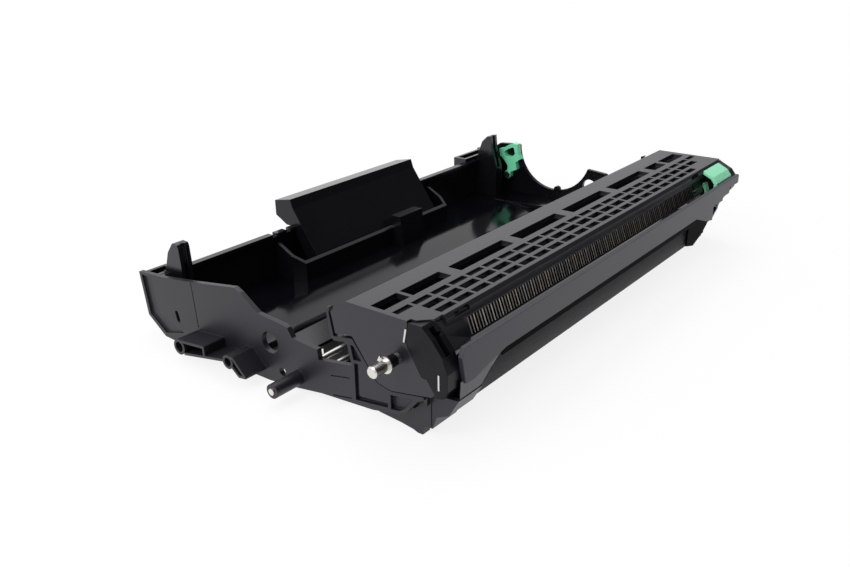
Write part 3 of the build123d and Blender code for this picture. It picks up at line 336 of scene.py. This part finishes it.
def materials():
    """Makes every material and puts it in the slots of its CAD nodes."""
    made = {name: plastic(name, *values) for name, values in PLASTICS.items()}
    made.update({name: steel(name, *values) for name, values in STEELS.items()})
    made["roller foam"] = rubber("roller foam", *FOAM_TONES)
    made["grid edge glints"] = painted_glint_steel("grid edge glints")
    for name, nodes in NODES_OF.items():
        for node in nodes:
            thing = frame["nodes"][node]
            if not thing.material_slots:
                thing.data.materials.append(made[name])
            for spot in thing.material_slots:
                spot.material = made[name]
    return made


def add(name, mesh):
    """A new object in the scene."""
    thing = bpy.data.objects.new(name, mesh)
    bpy.context.scene.collection.objects.link(thing)
    return thing


def plain_copy(node):
    """A CAD node's mesh to be reshaped, without the normals of its old shape."""
    mesh = node.data.copy()
    if "custom_normal" in mesh.attributes:
        mesh.attributes.remove(mesh.attributes["custom_normal"])
    return mesh


def solid(name, rings, material):
    """Closed piece between two outlines of as many points, on the unit's own body."""
    count = len(rings[0])
    points = [place(*p) for ring in rings for p in ring]
    faces = [tuple(reversed(range(count))), tuple(range(count, 2 * count))]
    faces += [(i, (i + 1) % count, count + (i + 1) % count, count + i) for i in range(count)]
    mesh = bpy.data.meshes.new(name)
    mesh.from_pydata(points, [], faces)
    whole = bmesh.new()
    whole.from_mesh(mesh)
    bmesh.ops.recalc_face_normals(whole, faces=whole.faces)
    whole.to_mesh(mesh)
    whole.free()
    mesh.materials.append(material)
    thing = add(name, mesh)
    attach(thing, "unit")


def prism_x(name, outline, ends, material):
    """Solid with an outline of (y, z) points between two places along x."""
    solid(name, [[(x, y, z) for y, z in outline] for x in ends], material)


# The tray's floor in the solid: (y, z) points of its curved top, and the shelf at its far end
RIDGE = (33.5, -24.5)
ARC_MIDDLE, ARC_END = (64.0, -40.0), (98.0, -44.0)
SHELF_FROM = 265.0      # x
SHELF_BACK = 108.0      # y
SHELF_INSIDE_Z = -39.4      # ceiling of the hollow under the shelf
# The floor that the photo's reflections show
LEVEL_FROM, LEVEL_Z = 93.5, -44.0       # behind this the floor is level
TROUGH_Y, TROUGH_DROP = 70.0, 0.12      # lowest line, and the slope that leads down to it
SLOPE_POWER = 1.4       # curve of the rise from there to the ridge
PLATE_T = 4.2       # the floor's plate lies within this below its top
ON_TOP = 0.08       # points this close above the top belong to it
SHELF_SKIN = 1.5        # what is left between the flattened shelf and its ceiling
REACH, SAME = 0.5, 0.1      # margins of the floor's rear edge and of the shelf's coordinates


def arc_top(y):
    """Height of the solid's curved floor, on the circle through its three points."""
    (ax, ay), (bx, by), (cx, cy) = RIDGE, ARC_MIDDLE, ARC_END
    if y < ax:
        return ay
    if y > cx:
        return cy
    a, b, c = (p * p + q * q for p, q in (RIDGE, ARC_MIDDLE, ARC_END))
    d = 2 * (ax * (by - cy) + bx * (cy - ay) + cx * (ay - by))
    ux = (a * (by - cy) + b * (cy - ay) + c * (ay - by)) / d
    uy = (a * (cx - bx) + b * (ax - cx) + c * (bx - ax)) / d
    return uy - math.sqrt((ax - ux) ** 2 + (ay - uy) ** 2 - (y - ux) ** 2)


def seen_top(y):
    """The same height as the photo's reflections show it: level, then dipping before it rises to the ridge."""
    if y >= LEVEL_FROM:
        return LEVEL_Z
    if y >= TROUGH_Y:
        return LEVEL_Z - (LEVEL_FROM - y) * TROUGH_DROP
    lowest = LEVEL_Z - (LEVEL_FROM - TROUGH_Y) * TROUGH_DROP
    share = min(1.0, (TROUGH_Y - y) / (TROUGH_Y - RIDGE[0]))
    return lowest + (RIDGE[1] - lowest) * share ** SLOPE_POWER


def trough():
    """The tray floor with the dip that the photo shows and no shelf, in place of the plain solid."""
    node = frame["nodes"]["tray_floor"]
    mesh = plain_copy(node)
    thing = add("trough", mesh)
    for vertex in mesh.vertices:
        x, y, z = (node.matrix_world @ vertex.co - NEAR_CORNER) * 1000
        top = arc_top(y)
        if RIDGE[0] < y < SHELF_BACK + REACH:
            if top - PLATE_T < z < top + ON_TOP:
                z += seen_top(y) - top
            elif x > SHELF_FROM - SAME and z >= top + ON_TOP:
                z = seen_top(y) - (SHELF_SKIN if abs(z - SHELF_INSIDE_Z) < SAME else 0.0)
        vertex.co = place(x, y, z)
    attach(thing, "unit")
    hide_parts("tray_floor")


# The comb's front face: where it starts along x, its length, pitch and margin, and its foot and head as (y, z)
COMB_FROM, COMB_LONG, COMB_PITCH, COMB_MARGIN = 23.0, 221.0, 2.0, 2.0
COMB_FOOT, COMB_HEAD = (-42.5, -12.7), (-39.5, -4.6)
STRIP_END = 0.7     # strips end this far inside the foot and the head
STRIP_FACES = (0, 1, 2, 3), (7, 6, 5, 4), (0, 4, 5, 1), (1, 5, 6, 2), (2, 6, 7, 3), (3, 7, 4, 0)


def comb_strips(name, width, near, thick, slant, shift, material):
    """One thin upright strip per pitch: its width, depth, thickness and slant, and its shift along x."""
    across = Vector((0, COMB_HEAD[0] - COMB_FOOT[0], COMB_HEAD[1] - COMB_FOOT[1]))
    top = across.length - STRIP_END
    across.normalize()
    out = Vector((0, -across.z, across.y))
    points, faces = [], []
    count = int((COMB_LONG - COMB_MARGIN) / COMB_PITCH)
    for i in range(count):
        middle = COMB_FROM + COMB_LONG / 2 + (i - (count - 1) / 2) * COMB_PITCH + shift
        faces += [tuple(len(points) + k for k in face) for face in STRIP_FACES]
        for depth in (near, near + thick):
            for side, up in ((-0.5, STRIP_END), (0.5, STRIP_END), (0.5, top), (-0.5, top)):
                foot = Vector((middle + side * width, *COMB_FOOT))
                points.append(place(*(foot + across * up - out * (depth + slant * (0.5 - side)))))
    mesh = bpy.data.meshes.new(name)
    mesh.from_pydata(points, [], faces)
    mesh.materials.append(material)
    thing = add(name, mesh)
    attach(thing, "unit")


DRUM_AXIS = (-24.4, -17.5)      # y and z
BOSS_R, BOSS_LONG, BOSS_SIDES = 2.5, 5.6, 32        # boss between the near plate and the ring, darker than the plate as painted shade round the shaft
RING_FACE = 0.9     # from the near plate to the CAD ring's inner face
TAB_AHEAD = 0.9     # from the boss's end to the tab's inner face


def round_axis(name, node_name, factor, turn, out, material):
    """A CAD ring or tab drawn smaller round the drum's axis, turned and moved out by so many mm, in its place."""
    node = frame["nodes"][node_name]
    mesh = plain_copy(node)
    c, w = math.cos(math.radians(turn)), math.sin(math.radians(turn))
    for vertex in mesh.vertices:
        x, y, z = (node.matrix_world @ vertex.co - NEAR_CORNER) * 1000
        y, z = (y - DRUM_AXIS[0]) * factor, (z - DRUM_AXIS[1]) * factor
        vertex.co = place(x - out, DRUM_AXIS[0] + y * c - z * w, DRUM_AXIS[1] + y * w + z * c)
    mesh.materials.clear()
    mesh.materials.append(material)
    thing = add(name, mesh)
    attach(thing, "unit")
    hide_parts(node_name)


# The block beside the comb: its two ends' x and outlines as (y, z) points
PANEL = [(7.2, [(-37.0, -1.8), (-38.2, -1.3), (-40.2, -5.6), (-45.6, -11.6), (-45.0, -14.4), (-42.6, -14.4)]),
         (23.4, [(-37.4, -3.2), (-38.4, -2.8), (-40.5, -7.2), (-42.9, -12.4), (-43.2, -14.4), (-42.0, -14.4)])]
BEARING_CAP = [(-37.6, -31.8), (-30.2, -31.8), (-30.2, -44.9), (-37.6, -44.9)]
CAP_X = (4.5, 4.9)
# Name, front and back y, material, slot and outline as (x, z) points
PLATES = [
    # Near-black strip behind the guide bar's lower edge: painted shade of the gap above the roller
    ("guide_shade_strip", -49.9, -49.3, "shaded plastic", "guide_plastic",
     [(34.5, -18.8), (35.0, -22.6), (228.0, -22.6), (228.0, -18.8)]),
    ("guide_film", -50.2, -50.0, "film", "guide_plastic",
     [(6.5, -22.0), (6.0, -29.6), (12.5, -30.2), (19.5, -29.0), (26.0, -24.5), (34.0, -19.9), (26.0, -20.0)]),
    ("gear_guard", -44.2, -43.3, "shaded plastic", "frame_plastic",
     [(236.0, -24.0), (252.0, -24.0), (266.0, -28.5), (265.6, -31.5), (256.8, -37.0), (244.5, -40.8),
      (234.5, -38.3)]),
    ("gear_guard_foot", -44.2, -40.6, "shaded plastic", "frame_plastic",
     [(264.0, -31.4), (264.0, -28.4), (267.4, -28.4), (267.4, -31.4)]),
]


def small_pieces(made):
    """What the photo shows beside the solids: by the comb, under the bar, at both ends and round the shaft."""
    bright, dark = made["bright steel"], made["shaded plastic"]
    rings = [[(x, y, z) for y, z in outline] for x, outline in PANEL]
    solid("comb_panel", rings, made["cover plastic"])
    prism_x("bearing_cap", BEARING_CAP, CAP_X, made["plate plastic"])
    for name, front, back, material, slot, outline in PLATES:
        solid(name, [[(x, y, z) for x, z in outline] for y in (front, back)], made[material])
    # The grid's edges, coloured with painted highlights and reflections
    comb_strips("grid_edges", width=0.42, near=0.03, thick=0.10, slant=0.30, shift=0.0,
                material=made["grid edge glints"])
    # Near-black strips over the comb's ribs, between the grid's edges: painted shade in the comb's gaps
    comb_strips("comb_shade_strips", width=0.86, near=-0.05, thick=0.08, slant=0.0, shift=COMB_PITCH / 2,
                material=dark)
    round_axis("clip_ring", "shaft_clip", factor=0.70, turn=180.0, out=BOSS_LONG - RING_FACE, material=bright)
    round_axis("pointed_tab", "ground_tab", factor=0.56, turn=0.0, out=BOSS_LONG + TAB_AHEAD, material=bright)
    angles = [2 * math.pi * i / BOSS_SIDES for i in range(BOSS_SIDES)]
    circle = [(DRUM_AXIS[0] + BOSS_R * math.cos(a), DRUM_AXIS[1] + BOSS_R * math.sin(a)) for a in angles]
    # The boss is in the darker holder plastic: painted shade round the shaft
    prism_x("shaft_boss", circle, (-BOSS_LONG, 0.0), made["holder plastic"])


FLOOR_SIZE = 8.0        # metres
FLOOR_TONES = [(0.3, (0.90, 0.90, 0.90)), (0.7, (0.93, 0.93, 0.93))]
FLOOR_SQUEEZE = (0.6, 1.0, 1.0)     # makes the shadow's area longer along the unit
FADE_FROM, FADE_TO = 0.07, 0.26     # the shadow fades out between these distances from the middle of the unit
SHADOW_SHARE = 0.16     # how much of the floor's shading shows near the unit


def floor():
    """Pale floor that shows plain white, apart from a faint shadow round the unit."""
    bpy.ops.mesh.primitive_plane_add(size=FLOOR_SIZE, location=(0, 0, low[2]))
    plane = bpy.context.object
    plane.name = "floor"
    m = Material("floor")
    m.surface(tone=m.ramp(m.noise(*FLOOR_CLOUD), "Fac", FLOOR_TONES))
    set_inputs(m.shader, Roughness=0.9, Specular_IOR_Level=0.1)
    squeeze = m.node("ShaderNodeMapping")
    squeeze.inputs["Scale"].default_value = FLOOR_SQUEEZE
    m.link(m.node("ShaderNodeTexCoord"), "Object", squeeze, "Vector")
    reach = m.node("ShaderNodeVectorMath", operation="LENGTH")
    m.link(squeeze, "Vector", reach, "Vector")
    fade = m.remap(reach, "Value", From_Min=FADE_FROM, From_Max=FADE_TO, To_Min=1.0 - SHADOW_SHARE)
    fade.interpolation_type = "SMOOTHSTEP"
    seen = m.node("ShaderNodeMath", operation="MULTIPLY")
    m.link(m.rays("Is Camera Ray", "Is Glossy Ray", "Is Transmission Ray"), "Value", seen, 0)
    m.link(fade, "Result", seen, 1)
    white = m.node("ShaderNodeEmission", Color=(1, 1, 1, 1), Strength=1.0)
    mix = m.node("ShaderNodeMixShader")
    m.link(seen, "Value", mix, "Fac")
    m.link(m.shader, "BSDF", mix, 1)
    m.link(white, "Emission", mix, 2)
    m.link(mix, "Shader", m.tree.nodes["Material Output"], "Surface")
    plane.data.materials.append(m.mat)
    plane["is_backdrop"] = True


BRIGHT_SIDE = (-0.35, 0.80, 0.20)       # direction of the tent's white side
TENT_EDGE = (-0.55, 0.25)       # along that direction, the tent goes from dim to white between these
TENT_BRIGHT, TENT_DIM = 1.0, 0.08


def world():
    """Light tent that is white behind, above and below the unit and dim in front of it."""
    made = bpy.data.worlds.new("world")
    bpy.context.scene.world = made
    made.use_nodes = True
    w = Nodes(made.node_tree)
    background = w.tree.nodes["Background"]
    background.inputs["Color"].default_value = (1, 1, 1, 1)
    turn = w.node("ShaderNodeVectorMath", operation="DOT_PRODUCT")
    turn.inputs[1].default_value = BRIGHT_SIDE
    w.link(w.node("ShaderNodeTexCoord"), "Generated", turn, 0)
    side = w.remap(turn, "Value", From_Min=TENT_EDGE[0], From_Max=TENT_EDGE[1],
                   To_Min=TENT_DIM, To_Max=TENT_BRIGHT)
    side.interpolation_type = "SMOOTHSTEP"
    seen = w.remap(w.rays("Is Camera Ray", "Is Transmission Ray"), "Value", To_Max=1.0)
    w.link(side, "Result", seen, "To Min")
    w.link(seen, "Result", background, "Strength")


# Name, size in metres, power in watts and place
LAMPS = [("above", 0.6, 2.5, (0.15, 0.2, 0.9)),
         ("left", 0.5, 4.0, (-0.9, 0.15, 0.7))]
LIT_POINT = (0, 0, 0.03)


def lights():
    """Square area lamps that face the unit."""
    for name, size, power, spot in LAMPS:
        data = bpy.data.lights.new(name, "AREA")
        data.shape = "RECTANGLE"
        data.size, data.size_y = size, size
        data.energy = power
        thing = add(name, data)
        thing.location = spot
        thing.rotation_euler = (Vector(LIT_POINT) - Vector(spot)).to_track_quat("-Z", "Y").to_euler()


made = materials()
trough()
small_pieces(made)
floor()
world()
lights()
camera()

scene = bpy.context.scene
scene.view_settings.view_transform = "Standard"
low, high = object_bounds()
